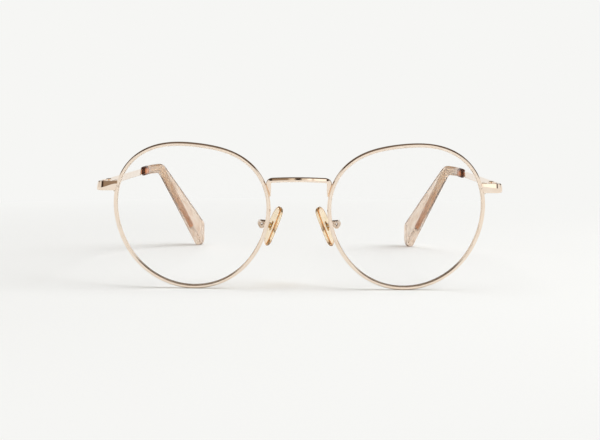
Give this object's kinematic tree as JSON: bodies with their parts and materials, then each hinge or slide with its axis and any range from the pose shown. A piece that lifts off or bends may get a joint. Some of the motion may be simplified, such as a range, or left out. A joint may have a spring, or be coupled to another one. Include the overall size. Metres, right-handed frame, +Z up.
{
  "type": "eyeglasses",
  "caption": "Round metal-framed eyeglasses with a flat bridge, clear lenses, soft nose pads and folding temples that end in bent, translucent tips.",
  "frame": {"origin": "On the surface the object stands on, midway across its width and midway along its length.", "axes": "+X is to the right as seen from the front, +Y runs from the lenses back along the open temples, +Z is up."},
  "size_m": [0.133, 0.143, 0.0486],
  "materials": {
    "champagne_gold": "polished pale champagne gold plating",
    "screw_steel": "turned, lightly plated",
    "collar_copper": "polished, dark copper tone",
    "blush_acetate": "polished, translucent blush",
    "amber_pad": "soft, satin, translucent amber",
    "clear_lens": "clear, anti-reflection coated"
  },
  "bodies": {
    "front": {"bridge": "champagne_gold", "rim_left": "champagne_gold", "lens_left": "clear_lens", "end_piece_left": "champagne_gold", "rim_lock_upper_left": "champagne_gold", "rim_lock_lower_left": "champagne_gold", "rim_lock_screw_left": "screw_steel", "front_hinge_left": "champagne_gold", "hinge_screw_left": "screw_steel", "pad_arm_left": "champagne_gold", "pad_box_left": "champagne_gold", "pad_screw_left": "screw_steel", "rim_right": "champagne_gold", "lens_right": "clear_lens", "end_piece_right": "champagne_gold", "rim_lock_upper_right": "champagne_gold", "rim_lock_lower_right": "champagne_gold", "rim_lock_screw_right": "screw_steel", "front_hinge_right": "champagne_gold", "hinge_screw_right": "screw_steel", "pad_arm_right": "champagne_gold", "pad_box_right": "champagne_gold", "pad_screw_right": "screw_steel"},
    "temple_left": {"temple_hinge_left": "champagne_gold", "temple_bar_left": "champagne_gold", "tip_collar_left": "collar_copper", "temple_tip_left": "blush_acetate"},
    "temple_right": {"temple_hinge_right": "champagne_gold", "temple_bar_right": "champagne_gold", "tip_collar_right": "collar_copper", "temple_tip_right": "blush_acetate"},
    "pad_left": {"nose_pad_left": "amber_pad", "pad_mount_left": "champagne_gold"},
    "pad_right": {"nose_pad_right": "amber_pad", "pad_mount_right": "champagne_gold"}
  },
  "joints": [
    {"name": "fold_left", "type": "hinge", "parent": "front", "child": "temple_left", "pos_m": [-0.06375, -0.05676, 0.03392], "axis": [0, 0, -1], "range_deg": [0, 83]},
    {"name": "fold_right", "type": "hinge", "parent": "front", "child": "temple_right", "pos_m": [0.06375, -0.05676, 0.03392], "axis": [0, 0, 1], "range_deg": [0, 77]},
    {"name": "pad_rock_left", "type": "hinge", "parent": "front", "child": "pad_left", "pos_m": [-0.0099, -0.06096, 0.02082], "axis": [-0.3324, 0.9162, 0.2239], "range_deg": [-8, 8]},
    {"name": "pad_rock_right", "type": "hinge", "parent": "front", "child": "pad_right", "pos_m": [0.0099, -0.06096, 0.02082], "axis": [0.3324, 0.9162, 0.2239], "range_deg": [-8, 8]}
  ]
}
